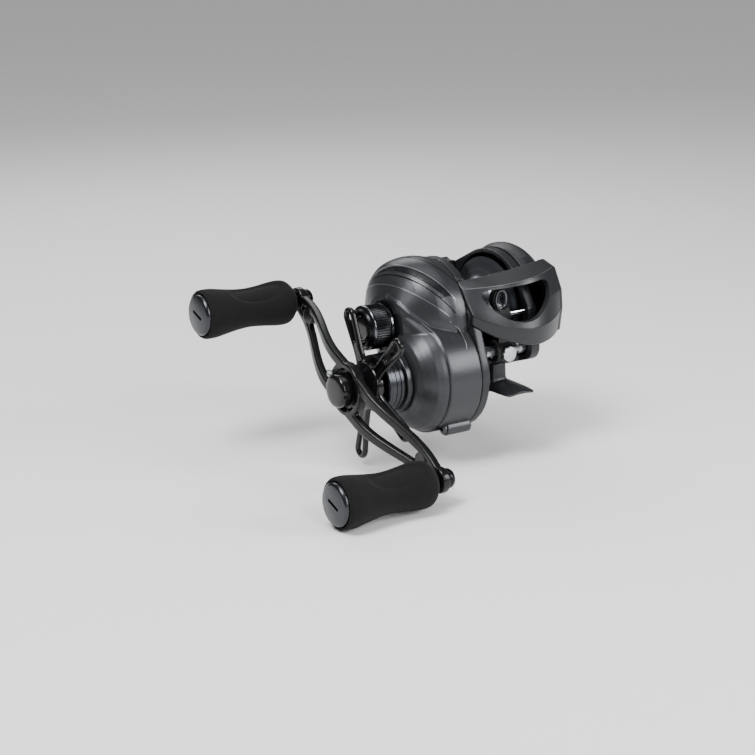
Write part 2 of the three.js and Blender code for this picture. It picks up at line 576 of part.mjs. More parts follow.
const CAM_X = [-17.0, -16.2];
const camArm = polar(SPOOL, 19.2, 0.4);
part('clutch_cam', cut(join(
  rod(...CAM_X, 8.2, SPOOL, 28),
  plate(CAM_X, [[SPOOL, 2], [camArm, 1.6]], 20),
), rod(-18, -15, 5.2, SPOOL, 24)), 'steel');

// ---------- thumb bar ----------

const THUMB = [[21.8, 38.8], [23.2, 38.2], [25.4, 38.4], [27.2, 39.2], [28, 38], [28, 31.2], [23.2, 31.2]];
const thumbBar = prism(shapeOf(THUMB.slice().reverse()), [GEAR_WALL[1] + 0.4, PALM_WALL[0] - 0.4]);
const thumbTab = box([GEAR_WALL[0] + 0.1, GEAR_WALL[1] + 1], [23.2, 26], [32.6, 36.4]);
part('thumb_bar', join(thumbBar, thumbTab), 'hood');

// ---------- level wind ----------

part('worm_shaft', turned([
  [-17.7, 0], [-17.7, 1.45], [GEAR_WALL[1] + 0.4, 1.45], [GEAR_WALL[1] + 0.4, 2.3],
  ...Array.from({ length: 6 }, (_, i) => -10 + 3 * i).flatMap((x) => [[x, 2.3], [x + 0.5, 1.8], [x + 1.1, 1.8], [x + 1.6, 2.3]]),
  [PALM_WALL[0] - 0.4, 2.3], [PALM_WALL[0] - 0.4, 1.45], [13.4, 1.45], [13.4, 0],
], WORM, 16), 'steel');

const toShaft = toWorm + Math.PI;
part('worm_gear', gear(WORM_TEETH, windModule, WORM, toShaft + Math.PI / WORM_TEETH, [-17.6, -16.2], 1.8, 2), 'plastic');

const GUIDE_X = -1;                    // line guide at rest
const GUIDE_HALF = 3.4;
const RING_AT = [-18.2, 32.8];

function oval(x, y, z, rx, rz, segments = 24) {
  return Array.from({ length: segments }, (_, i) => {
    const a = 2 * Math.PI * i / segments;
    return vec(x + rx * Math.cos(a), y, z + rz * Math.sin(a));
  });
}

function ovalTube(sections) {
  return loft(sections.map(([y, rx, rz]) => oval(GUIDE_X, y, RING_AT[1], rx, rz)));
}

function guideCarriage() {
  const nut = rod(GUIDE_X - GUIDE_HALF, GUIDE_X + GUIDE_HALF, 4.1, WORM, 28);
  const pawlNeck = bar(vec(GUIDE_X, WORM[0], WORM[1]), vec(GUIDE_X, -24.4, WORM[1]), 2.6, 20);
  const sleeve = rod(GUIDE_X - GUIDE_HALF, GUIDE_X + GUIDE_HALF, 2.0, GUIDE_ROD, 24);
  const post = box([GUIDE_X - 2.2, GUIDE_X + 2.2], [-21.9, -18.2], [15, 29.8]);
  const holder = ovalTube([[RING_AT[0] - 1.5, 3.4, 4.5], [RING_AT[0] + 1.5, 3.4, 4.5]]);
  const holes = [
    rod(-10, 8, 2.65, WORM, 24),
    rod(-10, 8, 1.4, GUIDE_ROD, 16),
    ovalTube([[-26, 2.8, 3.75], [-10, 2.8, 3.75]]),
  ];
  return cut(join(nut, pawlNeck, sleeve, post, holder), ...holes);
}
part('line_guide', guideCarriage(), 'plastic');
part('line_guide_ring', cut(
  ovalTube([[-1.9, 2.3], [-1.5, 2.5], [1.5, 2.5], [1.9, 2.3]].map(([dy, rx]) => [RING_AT[0] + dy, rx, rx + 0.95])),
  ovalTube([[-26, 1.8, 2.75], [-10, 1.8, 2.75]]),
), 'ceramic');
part('pawl_cap', bar(vec(GUIDE_X, -24.7, WORM[1]), vec(GUIDE_X, -25.9, WORM[1]), 2.9, 24), 'steel');

// ---------- palm side ----------

part('palm_cover', palmCover(), 'housing');
part('spool_bearing_palm_side', ring(13.6, 15.9, 1.8, 4.7, SPOOL, 20), 'steel');
part('brake_plate', ring(10.6, 12.6, 6.6, 14.2, SPOOL, 28), 'plastic');
part('brake_dial', turned([
  [27.5, 2.8], [27.5, 8.4], [30.2, 8.2], [30.8, 7.6], [30.8, 2.8], [27.5, 2.8],
], SPOOL, 28), 'black_gloss');

export default reel;
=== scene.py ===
"""Looks for the baitcasting reel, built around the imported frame. Shapes are worked out in
millimetres in the row frame (+X towards the palm side, -Y towards the rod tip, +Z up)."""

import json
import math

import bmesh
import bpy
import numpy as np
from mathutils import Matrix, Vector


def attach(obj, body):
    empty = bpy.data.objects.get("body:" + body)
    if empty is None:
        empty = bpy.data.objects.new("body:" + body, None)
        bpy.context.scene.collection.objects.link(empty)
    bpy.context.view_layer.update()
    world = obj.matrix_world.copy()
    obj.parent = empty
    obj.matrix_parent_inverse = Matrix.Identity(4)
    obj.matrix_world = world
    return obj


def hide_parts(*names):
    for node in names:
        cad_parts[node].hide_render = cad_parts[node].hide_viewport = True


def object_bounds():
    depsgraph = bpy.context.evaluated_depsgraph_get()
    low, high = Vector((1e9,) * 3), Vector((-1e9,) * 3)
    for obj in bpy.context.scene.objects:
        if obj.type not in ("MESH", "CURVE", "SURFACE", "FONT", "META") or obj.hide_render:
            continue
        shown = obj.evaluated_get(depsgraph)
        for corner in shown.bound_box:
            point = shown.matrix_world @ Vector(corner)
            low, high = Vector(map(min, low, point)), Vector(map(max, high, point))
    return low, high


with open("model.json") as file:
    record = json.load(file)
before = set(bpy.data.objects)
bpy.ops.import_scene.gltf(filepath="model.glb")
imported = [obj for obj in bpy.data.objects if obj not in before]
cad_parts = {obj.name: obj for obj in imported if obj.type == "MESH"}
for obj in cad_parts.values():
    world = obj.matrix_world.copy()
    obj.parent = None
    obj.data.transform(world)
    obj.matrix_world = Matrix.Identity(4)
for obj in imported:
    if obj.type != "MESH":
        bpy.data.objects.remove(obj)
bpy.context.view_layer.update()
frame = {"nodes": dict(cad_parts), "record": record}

# ---------- driving dimensions, the same as the CAD model's ----------

SHAFT = (-8.0, 6.0)
SPOOL = (2.0, 24.0)
WORM = (-19.5, 13.6)
GUIDE_ROD = (-19.8, 27.2)
REAR = (20.0, 30.0)
POD = (-17.2, 17.2)
CHIN = (-9.5, 16.0)
COVER_BACK = -16.2
LOBE_X = -36.9
HOOD_END = 25.6
HANDLE_R = 50.0
HANDLE_ANGLE = math.atan2(22.4, 44.7)
TAU = 2 * math.pi


def axis_point(axis, r, angle):
    return axis[0] + r * math.cos(angle), axis[1] + r * math.sin(angle)


def smooth01(t):
    t = min(1.0, max(0.0, t))
    return t * t * (3 - 2 * t)


# ---------- mesh helpers ----------

def new_object(name, verts, faces):
    mesh = bpy.data.meshes.new(name)
    mesh.from_pydata([tuple(v) for v in verts], [], faces)
    bm = bmesh.new()
    bm.from_mesh(mesh)
    bmesh.ops.remove_doubles(bm, verts=bm.verts, dist=1e-5)
    bmesh.ops.recalc_face_normals(bm, faces=bm.faces)
    bm.to_mesh(mesh)
    bm.free()
    ob = bpy.data.objects.new(name, mesh)
    bpy.context.scene.collection.objects.link(ob)
    return ob


def from_bmesh(bm, name):
    mesh = bpy.data.meshes.new(name)
    bm.to_mesh(mesh)
    bm.free()
    ob = bpy.data.objects.new(name, mesh)
    bpy.context.scene.collection.objects.link(ob)
    return ob


def ring_faces(rings, closed):
    faces = []
    pairs = list(zip(rings, rings[1:])) + ([(rings[-1], rings[0])] if closed else [])
    for a, b in pairs:
        n = max(len(a), len(b))
        for i in range(n):
            j = (i + 1) % n
            if len(a) == 1:
                faces.append((a[0], b[j], b[i]))
            elif len(b) == 1:
                faces.append((a[i], a[j], b[0]))
            else:
                faces.append((a[i], a[j], b[j], b[i]))
    return faces


def turned(profile, axis, segs=96, closed=False, wobble=None):
    """(x, r) points revolved about a line along X. wobble(x, angle, r) may change the radius."""
    verts, rings = [], []
    for x, r in profile:
        start = len(verts)
        if r < 1e-6:
            verts.append((x, axis[0], axis[1]))
            rings.append([start])
            continue
        for i in range(segs):
            a = TAU * i / segs
            rr = wobble(x, a, r) if wobble else r
            verts.append((x, *axis_point(axis, rr, a)))
        rings.append(list(range(start, start + segs)))
    return new_object("turned", verts, ring_faces(rings, closed))


def rod(x0, x1, r, axis, segs=64):
    return turned([(x0, 0), (x0, r), (x1, r), (x1, 0)], axis, segs)


def tube_ring(x0, x1, r_in, r_out, axis, segs=96):
    return turned([(x0, r_in), (x0, r_out), (x1, r_out), (x1, r_in)], axis, segs, closed=True)


def circle(x, centre, r, segs=96):
    return [(x, *axis_point(centre, r, TAU * i / segs)) for i in range(segs)]


def hull(*rings):
    bm = bmesh.new()
    for p in (p for ring in rings for p in ring):
        bm.verts.new(p)
    found = bmesh.ops.convex_hull(bm, input=bm.verts[:], use_existing_faces=False)
    loose = {v for key in ("geom_interior", "geom_unused") for v in found[key]
             if isinstance(v, bmesh.types.BMVert)}
    bmesh.ops.delete(bm, geom=list(loose), context="VERTS")
    bmesh.ops.delete(bm, geom=[v for v in bm.verts if not v.link_faces], context="VERTS")
    return from_bmesh(bm, "hull")


def loft(sections):
    n = len(sections[0])
    verts = [p for s in sections for p in s]
    rings = [list(range(k * n, (k + 1) * n)) for k in range(len(sections))]
    faces = ring_faces(rings, False) + [tuple(rings[0][::-1]), tuple(rings[-1])]
    return new_object("loft", verts, faces)


def prism(outline, x0, x1):
    """A flat outline of (y, z) points pushed along X."""
    return loft([[(x, y, z) for y, z in outline] for x in (x0, x1)])


def box(xs, ys, zs):
    return prism([(ys[0], zs[0]), (ys[1], zs[0]), (ys[1], zs[1]), (ys[0], zs[1])], *xs)


def bar(a, b, r, segs=32):
    a, b = Vector(a), Vector(b)
    turn = (b - a).to_track_quat("Z", "Y")
    rings = []
    for end in (a, b):
        rings.append([tuple(end + turn @ Vector((r * math.cos(TAU * i / segs),
                                                  r * math.sin(TAU * i / segs), 0)))
                      for i in range(segs)])
    return loft(rings)


def swept(points, r, segs=16):
    """A round tube along points, r a number or one radius per point."""
    pts = [Vector(p) for p in points]
    n = len(pts)
    rings, verts = [], []
    normal = None
    for k, p in enumerate(pts):
        before = pts[k - 1] if k else p
        after = pts[k + 1] if k < n - 1 else p
        tangent = (after - before).normalized()
        if normal is None:
            normal = tangent.orthogonal().normalized()
        normal = (normal - tangent * normal.dot(tangent)).normalized()
        side = tangent.cross(normal)
        radius = r[k] if hasattr(r, "__len__") else r
        start = len(verts)
        for i in range(segs):
            a = TAU * i / segs
            verts.append(tuple(p + radius * (normal * math.cos(a) + side * math.sin(a))))
        rings.append(list(range(start, start + segs)))
    faces = ring_faces(rings, False) + [tuple(rings[0][::-1]), tuple(rings[-1])]
    return new_object("swept", verts, faces)


def drop(ob):
    mesh = ob.data
    bpy.data.objects.remove(ob)
    bpy.data.meshes.remove(mesh)


def kept_by(*planes):
    """A big block trimmed to the side of each plane where normal . point is above d."""
    bm = bmesh.new()
    bmesh.ops.create_cube(bm, size=220)
    for normal, d in planes:
        n = Vector(normal)
        bmesh.ops.bisect_plane(bm, geom=bm.verts[:] + bm.edges[:] + bm.faces[:], dist=1e-6,
                               plane_co=n * d / n.length_squared, plane_no=n, clear_inner=True)
        bmesh.ops.holes_fill(bm, edges=[e for e in bm.edges if e.is_boundary])
    bmesh.ops.recalc_face_normals(bm, faces=bm.faces)
    return from_bmesh(bm, "kept")


def slab(normal, d, half, *more):
    """The space within half of a plane, trimmed by more planes."""
    n = Vector(normal).normalized()
    return kept_by((n, d - half), (-n, -d - half), *more)


def joined(*obs):
    """Several meshes in one object, not yet merged into one skin."""
    bm = bmesh.new()
    for ob in obs:
        bm.from_mesh(ob.data)
    for ob in obs:
        drop(ob)
    return from_bmesh(bm, "joined")


def bake(ob):
    graph = bpy.context.evaluated_depsgraph_get()
    mesh = bpy.data.meshes.new_from_object(ob.evaluated_get(graph))
    old = ob.data
    ob.modifiers.clear()
    ob.data = mesh
    bpy.data.meshes.remove(old)
    return ob


def cut(ob, *tools, operation="DIFFERENCE"):
    for tool in tools:
        m = ob.modifiers.new("cut", "BOOLEAN")
        m.operation, m.object, m.solver = operation, tool, "EXACT"
        bake(ob)
        drop(tool)
    return ob


def skin(ob, voxel, rounds):
    """One closed skin around everything in ob, with its edges softened."""
    m = ob.modifiers.new("remesh", "REMESH")
    m.mode, m.voxel_size, m.use_smooth_shade = "VOXEL", voxel, True
    s = ob.modifiers.new("smooth", "SMOOTH")
    s.factor, s.iterations = 0.5, rounds
    return bake(ob)


def rounded(ob, width, segments):
    m = ob.modifiers.new("bevel", "BEVEL")
    m.width, m.segments, m.limit_method = width, segments, "ANGLE"
    m.angle_limit = math.radians(35)
    m.use_clamp_overlap = True
    return bake(ob)


def shade(mesh, angle=40):
    mesh.polygons.foreach_set("use_smooth", [True] * len(mesh.polygons))
    mesh.set_sharp_from_angle(angle=math.radians(angle))
    mesh.update()


def piece(ob, name, body, finish, replaced=(), angle=40):
    """Brings a finished shape into the scene: metres, material, body, CAD nodes it stands for."""
    ob.name = name
    ob.data.name = name
    ob.data.transform(Matrix.Scale(0.001, 4))
    ob.data.materials.clear()
    ob.data.materials.append(finish)
    shade(ob.data, angle)
    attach(ob, body)
    if replaced:
        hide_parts(*replaced)
    return ob


# ---------- materials ----------

def look(name, colour, metallic, roughness, dark=None, grain=2500, bump=0.05, spread=0.05,
         coat=0.0, sheen=0.0, brushed=None, specular=0.5):
    """A Principled finish with fine grain in its colour, roughness and surface. brushed is the
    (y, z) of the axis its turning marks run round."""
    mat = bpy.data.materials.new(name)
    mat.use_nodes = True
    nodes, links = mat.node_tree.nodes, mat.node_tree.links
    shader = nodes["Principled BSDF"]
    shader.inputs["Metallic"].default_value = metallic
    shader.inputs["Coat Weight"].default_value = coat
    shader.inputs["Coat Roughness"].default_value = 0.08
    shader.inputs["Sheen Weight"].default_value = sheen
    shader.inputs["Sheen Roughness"].default_value = 0.6
    shader.inputs["Specular IOR Level"].default_value = specular

    where = nodes.new("ShaderNodeTexCoord").outputs["Object"]
    if brushed is not None:
        split = nodes.new("ShaderNodeSeparateXYZ")
        links.new(where, split.inputs[0])
        radius = nodes.new("ShaderNodeVectorMath")
        radius.operation = "LENGTH"
        flat = nodes.new("ShaderNodeCombineXYZ")
        for k, name_out in enumerate(("Y", "Z")):
            shift = nodes.new("ShaderNodeMath")
            shift.operation = "SUBTRACT"
            links.new(split.outputs[name_out], shift.inputs[0])
            shift.inputs[1].default_value = brushed[k] * 0.001
            links.new(shift.outputs[0], flat.inputs[name_out])
        links.new(flat.outputs[0], radius.inputs[0])
        lines = nodes.new("ShaderNodeCombineXYZ")
        links.new(split.outputs["X"], lines.inputs["X"])
        links.new(radius.outputs["Value"], lines.inputs["Y"])
        where = lines.outputs[0]
    fine = nodes.new("ShaderNodeTexNoise")
    fine.inputs["Scale"].default_value = grain
    fine.inputs["Detail"].default_value = 3
    links.new(where, fine.inputs["Vector"])
    broad = nodes.new("ShaderNodeTexNoise")
    broad.inputs["Scale"].default_value = 90
    broad.inputs["Detail"].default_value = 4
    links.new(nodes.new("ShaderNodeTexCoord").outputs["Object"], broad.inputs["Vector"])

    ramp = nodes.new("ShaderNodeValToRGB")
    low = dark or tuple(c * 0.72 for c in colour)
    ramp.color_ramp.elements[0].position = 0.32
    ramp.color_ramp.elements[1].position = 0.68
    ramp.color_ramp.elements[0].color = (*low, 1)
    ramp.color_ramp.elements[1].color = (*colour, 1)
    links.new(fine.outputs["Fac"], ramp.inputs["Fac"])
    tint = ramp.outputs["Color"]
    links.new(tint, shader.inputs["Base Color"])

    both = nodes.new("ShaderNodeMath")
    both.operation = "MULTIPLY_ADD"
    links.new(broad.outputs["Fac"], both.inputs[0])
    both.inputs[1].default_value = 2 * spread
    both.inputs[2].default_value = roughness - spread
    links.new(both.outputs[0], shader.inputs["Roughness"])

    relief = nodes.new("ShaderNodeBump")
    relief.inputs["Strength"].default_value = bump
    relief.inputs["Distance"].default_value = 0.0001
    links.new(fine.outputs["Fac"], relief.inputs["Height"])
    links.new(relief.outputs["Normal"], shader.inputs["Normal"])
    return mat


GUNMETAL = look("gunmetal_paint", (0.052, 0.054, 0.060), 0.6, 0.34, dark=(0.024, 0.025, 0.028),
                grain=5200, bump=0.12, specular=0.7)
GUNMETAL_PALM = look("gunmetal_paint_palm", (0.034, 0.035, 0.040), 0.5, 0.36,
                     dark=(0.017, 0.018, 0.020), grain=5200, bump=0.12)
HOOD = look("hood_satin", (0.030, 0.031, 0.035), 0.4, 0.34, dark=(0.014, 0.0145, 0.017), grain=6000,
            bump=0.18)
DECK = look("soft_touch_panel", (0.021, 0.022, 0.025), 0.0, 0.5, grain=6500, bump=0.25)
# Painted highlight: a light metallic colour laid on thin strips to stand in for the bright highlights
# on the housing's chamfers and creases.
PAINTED_HIGHLIGHT = look("painted_highlight_strip", (0.20, 0.205, 0.22), 0.8, 0.30, grain=5200, bump=0.05)
# Painted shadow: a near-black colour laid on thin strips to stand in for the shade in grooves and
# recesses.
GROOVE = look("groove_shadow", (0.006, 0.006, 0.007), 0.0, 0.5, grain=4000, bump=0.1)
INLAY = look("gloss_inlay", (0.005, 0.0055, 0.008), 0.0, 0.26, grain=1500, bump=0.01, specular=0.35)
GLOSS = look("gloss_black", (0.0055, 0.0057, 0.0065), 0.2, 0.17, grain=1800, bump=0.015, coat=0.15,
             specular=0.4)
SATIN_BLACK = look("satin_black_metal", (0.006, 0.0062, 0.007), 0.35, 0.27, grain=4200, bump=0.04)
ANODISED = look("black_anodised", (0.014, 0.0145, 0.017), 0.8, 0.25, grain=3000, bump=0.03)
TURNED_BLACK = look("turned_black", (0.075, 0.078, 0.088), 0.95, 0.28, dark=(0.018, 0.019, 0.022),
                    grain=3500, bump=0.15, brushed=SHAFT)
SPOOL_FINISH = look("spool_anodised", (0.17, 0.178, 0.20), 0.95, 0.28, dark=(0.12, 0.126, 0.14),
                    grain=2600, bump=0.06, brushed=SPOOL)
CHROME = look("bright_chrome", (0.62, 0.63, 0.66), 1.0, 0.12, grain=1200, bump=0.01)
DARK_CHROME = look("dark_chrome", (0.15, 0.155, 0.17), 1.0, 0.16, grain=1200, bump=0.01,
                   brushed=SPOOL)
STEEL = look("plain_steel", (0.45, 0.46, 0.48), 1.0, 0.28, grain=2200, bump=0.04)
DARK_STEEL = look("blackened_steel", (0.10, 0.103, 0.11), 0.9, 0.3, grain=2200, bump=0.04)
BRASS = look("cut_brass", (0.60, 0.42, 0.17), 1.0, 0.32, grain=2600, bump=0.05)
PLASTIC = look("black_moulding", (0.014, 0.0145, 0.016), 0.0, 0.42, grain=4000, bump=0.10)
CARBON = look("friction_washer", (0.035, 0.037, 0.040), 0.1, 0.55, dark=(0.012, 0.012, 0.013),
              grain=1600, bump=0.3)
CERAMIC = look("polished_ceramic", (0.06, 0.063, 0.072), 0.4, 0.10, grain=1500, bump=0.01, coat=0.5)
EVA = look("eva_foam", (0.009, 0.009, 0.0095), 0.0, 0.9, dark=(0.004, 0.004, 0.004), grain=3800,
           bump=0.9, sheen=0.02, specular=0.15)

SLOT_LOOKS = {
    "housing": GUNMETAL, "hood": HOOD, "black_gloss": GLOSS, "anodised": ANODISED,
    "spool": SPOOL_FINISH, "steel": STEEL, "brass": BRASS, "plastic": PLASTIC, "eva": EVA,
    "carbon": CARBON, "ceramic": CERAMIC,
}
node_slot = {s["node"]: s["material_slot"] for s in frame["record"]["subparts"]}
for node_name, node in frame["nodes"].items():
    node.data.materials.clear()
    node.data.materials.append(SLOT_LOOKS[node_slot[node_name]])
    shade(node.data, 35)


# ---------- gear side ----------

def between(rows, x):
    """A table of rows (x, ...numbers) read at x by Catmull-Rom."""
    rows = [np.array(r, float) for r in rows]
    xs = [r[0] for r in rows]
    k = max(i for i in range(len(rows)) if xs[i] <= x + 1e-9 or i == 0)
    k = min(k, len(rows) - 2)
    t = (x - xs[k]) / (xs[k + 1] - xs[k])
    a, b = rows[k], rows[k + 1]
    before = rows[k - 1] if k else 2 * a - b
    after = rows[k + 2] if k + 2 < len(rows) else 2 * b - a
    out = 0.5 * (2 * a + (b - before) * t + (2 * before - 5 * a + 4 * b - after) * t * t
                 + (3 * a - before - 3 * b + after) * t ** 3)
    return out[1:]


COVER_CIRCLES = [  # x, centre y, centre z, radius
    (LOBE_X, 2.0, 24.0, 11.2), (-34.4, 4.6, 26.0, 14.6), (-31, 5.0, 26.4, 18.4),
    (-27, 4.0, 25.4, 21.2), (-22, 3.0, 24.6, 22.6), (-16.2, 2.0, 24.0, 22.2)]


def cover_upper(grow=0.0):
    rings = []
    for x in np.linspace(LOBE_X, COVER_BACK, 15):
        y, z, r = between(COVER_CIRCLES, x)
        rings.append(circle(x - grow * (1 if x < -30 else 0), (y, z), r + grow, 120))
    rings += [circle(COVER_BACK, REAR, 8.5 + grow), circle(-25 - grow, REAR, 7.6 + grow)]
    return hull(*rings)


# x and radius of the drum's domed face, from its flat middle out to its rim
DOME = [(-39.5, 12.4), (-39.1, 13.6), (-37.9, 15.4), (-36.0, 17.15), (-33.8, 18.8),
        (-31.6, 19.95), (-30.1, 20.6), (-29.8, 20.9), (-29.6, 21.2)]
DRUM_R = 21.2


def cover_parts():
    drum = turned([(COVER_BACK, 0), (COVER_BACK, DRUM_R), *reversed(DOME), (DOME[0][0], 0)],
                  SHAFT, 160)
    bridge = hull(circle(LOBE_X, SPOOL, 11.0), circle(-28.5, SHAFT, 20.4),
                  circle(-30, (-3, 15), 13))
    pod = hull(circle(-24, POD, 6.4), circle(-23.6, POD, 6.8), circle(COVER_BACK, POD, 6.8),
               circle(-23.6, (-14, 20), 6), circle(COVER_BACK, (-14, 20), 6))
    bosses = [rod(-26.5, COVER_BACK, 2.6, spot) for spot in SCREW_SPOTS]
    rib = swept(RIB, [0.8, 0.9, 0.85, 0.75, 0.65, 0.55, 0.4])
    return joined(cover_upper(), drum, bridge, pod, *bosses, rib)


RIB = [(-36.5, 1.1, 35.0), (-36.3, -5.0, 32.9), (-34.5, -9.7, 30.0), (-31.7, -13.3, 27.0),
       (-29.6, -18.0, 24.0), (-29.5, -22.5, 20.6), (-29.8, -26.6, 14.7)]
# planes as a normal and a distance from the frame's origin: those that the cover's style lines
# lie in, and two that trim the lines at the bottom and in front
LINE_LOW = ((0.718, 0.119, 0.686), 1.24)
LINE_GROOVE = ((0.83, 0.198, 0.521), -5.37)
LINE_HIGH = ((0.887, 0.282, 0.366), -9.8)
LINE_SEAM = ((0.898, 0.317, 0.305), -7.0)
ABOVE = ((0, 0, 1), 27.5)
BEHIND_TIP = ((0.25, 1, 0.35), -9.2)
STRIP_PLAY = 0.3  # gap left round the gloss strip in its recess
SCREW_SPOTS = [axis_point(SHAFT, 21.6, -0.62 - math.pi / 2), axis_point(SHAFT, 21.6, -0.35)]


def shifted(plane, by):
    return plane[0], plane[1] + by


def flipped(plane):
    return tuple(-c for c in plane[0]), -plane[1]


def build_gear_cover():
    body = skin(cover_parts(), 0.3, 1)
    cut(body, skin(cover_inner(), 0.9, 1), rod(-46, LOBE_X, 9.3, SPOOL), rod(-46, -20, 4.2, SPOOL),
        rod(-43, -30, 7.3, SHAFT), box((COVER_BACK, 0), (-60, 60), (-60, 80)),
        *[rod(-34, -26.5, 2.3, spot, 32) for spot in SCREW_SPOTS])
    rim_seam = tube_ring(-30.25, -29.95, 20.35, 21.8, SHAFT, 160)
    cut(body, cut(rim_seam, kept_by(((0, 0, -1), -15)), operation="INTERSECT"))
    below_high = flipped(LINE_HIGH)
    cut(body, on_cover(-0.75, 0.9, kept_by(LINE_GROOVE, below_high, BEHIND_TIP, ABOVE)),
        on_cover(-0.55, 0.9, slab(*LINE_GROOVE, 0.22, ((0, 1, 0), -19), ABOVE)),
        on_cover(-0.5, 0.9, slab(*LINE_SEAM, 0.16, ((0, 0, 1), 38.5))))
    piece(body, "gear_cover_shell", "housing", GUNMETAL, ["gear_cover"], 50)
    tip = shifted(BEHIND_TIP, STRIP_PLAY)
    strip = on_cover(-0.7, -0.3, kept_by(shifted(LINE_GROOVE, 1.9), shifted(below_high, STRIP_PLAY),
                                         tip, ABOVE))
    piece(strip, "cover_gloss_strip", "housing", INLAY)
    ledge = on_cover(-0.7, -0.12, kept_by(shifted(LINE_GROOVE, STRIP_PLAY),
                                          shifted(flipped(LINE_GROOVE), -1.6), tip, ABOVE))
    piece(ledge, "cover_strip_ledge", "housing", GUNMETAL)
    # Thin strips along the cover's high and low style lines, coloured as painted highlight to stand in
    # for the chamfer highlights there.
    for name, line, half, front in (("cover_line_high_painted_highlight", LINE_HIGH, 0.16, -17.5),
                                    ("cover_line_low_painted_highlight", LINE_LOW, 0.2, -18.6)):
        trim = on_cover(-0.3, 0.1, slab(*line, half, ((0, 1, 0), front), ABOVE))
        piece(trim, name, "housing", PAINTED_HIGHLIGHT)
    # Painted highlight: a thin light strip along the pod's crescent edge, standing in for the bright
    # line that the edge catches.
    pod_highlight_strip = swept([(-23.2, -18.9, 27.6), (-21.6, -19.3, 26.4), (-20.2, -20.2, 24.8),
                      (-19.5, -22.3, 21.8), (-19.7, -24.0, 19.8), (-20.2, -25.0, 18.4)], 0.2, 12)
    piece(pod_highlight_strip, "pod_edge_painted_highlight", "housing", PAINTED_HIGHLIGHT)
    # Painted shadow: a thin near-black strip beside the pod's edge, standing in for the shade in its
    # recess.
    pod_shadow_strip = swept([(-22.6, -19.2, 27.3), (-20.9, -19.6, 26.0), (-19.5, -20.5, 24.5),
                      (-18.8, -22.4, 21.7), (-19.0, -24.2, 19.6), (-19.5, -25.2, 18.2)], 0.24, 12)
    piece(pod_shadow_strip, "pod_edge_shadow", "housing", GROOVE)
    neck = turned([(-44, 4.2), (-44, 5.5), (-36, 5.5), (-36, 4.2)], SPOOL, 64, closed=True)
    piece(neck, "tension_neck", "housing", ANODISED)


def cover_inner():
    upper = hull(*[circle(x, between(COVER_CIRCLES, x)[:2], between(COVER_CIRCLES, x)[2] - 1.8, 64)
                   for x in np.linspace(LOBE_X + 1.8, COVER_BACK + 3, 9)],
                 circle(COVER_BACK + 3, REAR, 6.7), circle(-23.2, REAR, 6))
    drum = turned([(COVER_BACK + 3, 0), (COVER_BACK + 3, 19.3), (-28, 19.3), (-33, 16.8),
                   (-37.6, 11.5), (-37.6, 0)], SHAFT, 96)
    return joined(upper, drum)


def on_cover(inner, outer, region):
    """The part of a layer of the cover's skin, from inner to outer of its surface, in a region."""
    layer = cut(cover_upper(outer), cover_upper(inner))
    return cut(layer, region, operation="INTERSECT")


build_gear_cover()

for k, spot in enumerate(SCREW_SPOTS):
    head = turned([(-27.6, 0), (-27.6, 1.5), (-27.2, 2.0), (-26.6, 2.0), (-26.6, 1.1), (-17, 1.1),
                   (-17, 0)], spot, 40)
    cut(head, prism([axis_point(spot, 0.95, TAU * i / 6) for i in range(6)], -28.4, -27.0))
    piece(head, f"cover_screw_head_{k + 1}", "housing", DARK_STEEL, [f"cover_screw_{k + 1}"])

boss = turned([(-49, 7.3), (-49, 10.2), (-48.6, 10.6), (-46.0, 10.6), (-45.9, 10.35), (-45.7, 10.35),
               (-45.6, 10.6), (-44.2, 10.6), (-44.1, 10.3), (-43.8, 10.3), (-43.7, 10.6),
               (-42.1, 10.6), (-42.1, 7.3)], SHAFT, 128, closed=True)
piece(boss, "boss_sleeve", "housing", TURNED_BLACK, ["handle_boss"])
flange = turned([(-42.0, 7.3), (-42.0, 11.5), (-41.7, 11.8), (-40.0, 11.8), (-39.8, 11.6),
                 (-39.8, 7.3)], SHAFT, 128, closed=True)
piece(flange, "boss_flange", "housing",
      look("turned_flange", (0.085, 0.086, 0.092), 0.95, 0.32, dark=(0.035, 0.036, 0.04), grain=3200,
           bump=0.1, brushed=SHAFT))

# ---------- frame ----------

SIDE = [(SPOOL, 22.2), (REAR, 8.5)]
GEAR_WALL = (-15.9, -12.6)
PALM_WALL = (10.0, 14.0)


def plate(x0, x1, circles):
    return hull(*[circle(x, c, r, 120) for c, r in circles for x in (x0, x1)])


HOOD_X = (-15.6, 3.0, 23.0)
HOOD_LINES = [
    ((-12.5, -14.8, -13.0), (40.2, 41.9, 43.8)),
    ((-15.2, -24.3, -19.8), (37.6, 39.6, 42.0)),
    ((-19.0, -27.6, -24.0), (32.8, 32.5, 34.0)),
    ((-22.4, -31.0, -24.8), (29.4, 23.4, 27.0)),
    ((-22.2, -30.0, -23.6), (25.4, 17.4, 18.4)),
]


def parabola(values, x):
    a, b, c = values
    xa, xb, xc = HOOD_X
    return (a * (x - xb) * (x - xc) / ((xa - xb) * (xa - xc))
            + b * (x - xa) * (x - xc) / ((xb - xa) * (xb - xc))
            + c * (x - xa) * (x - xb) / ((xc - xa) * (xc - xb)))


def hood_section(x, inset, reach):
    at = [(parabola(y, min(x, 23)), parabola(z, min(x, 23))) for y, z in HOOD_LINES]
    rear, crease, middle, bezel, lip = at
    return [(x, y, z) for y, z in [
        (rear[0] + reach, rear[1] - inset), (crease[0] + inset, crease[1] - inset),
        (middle[0] + inset, middle[1] - 0.3 * inset), (bezel[0] + inset, bezel[1]),
        (lip[0] + inset, lip[1] - reach), (rear[0] + reach, lip[1] - reach)]]


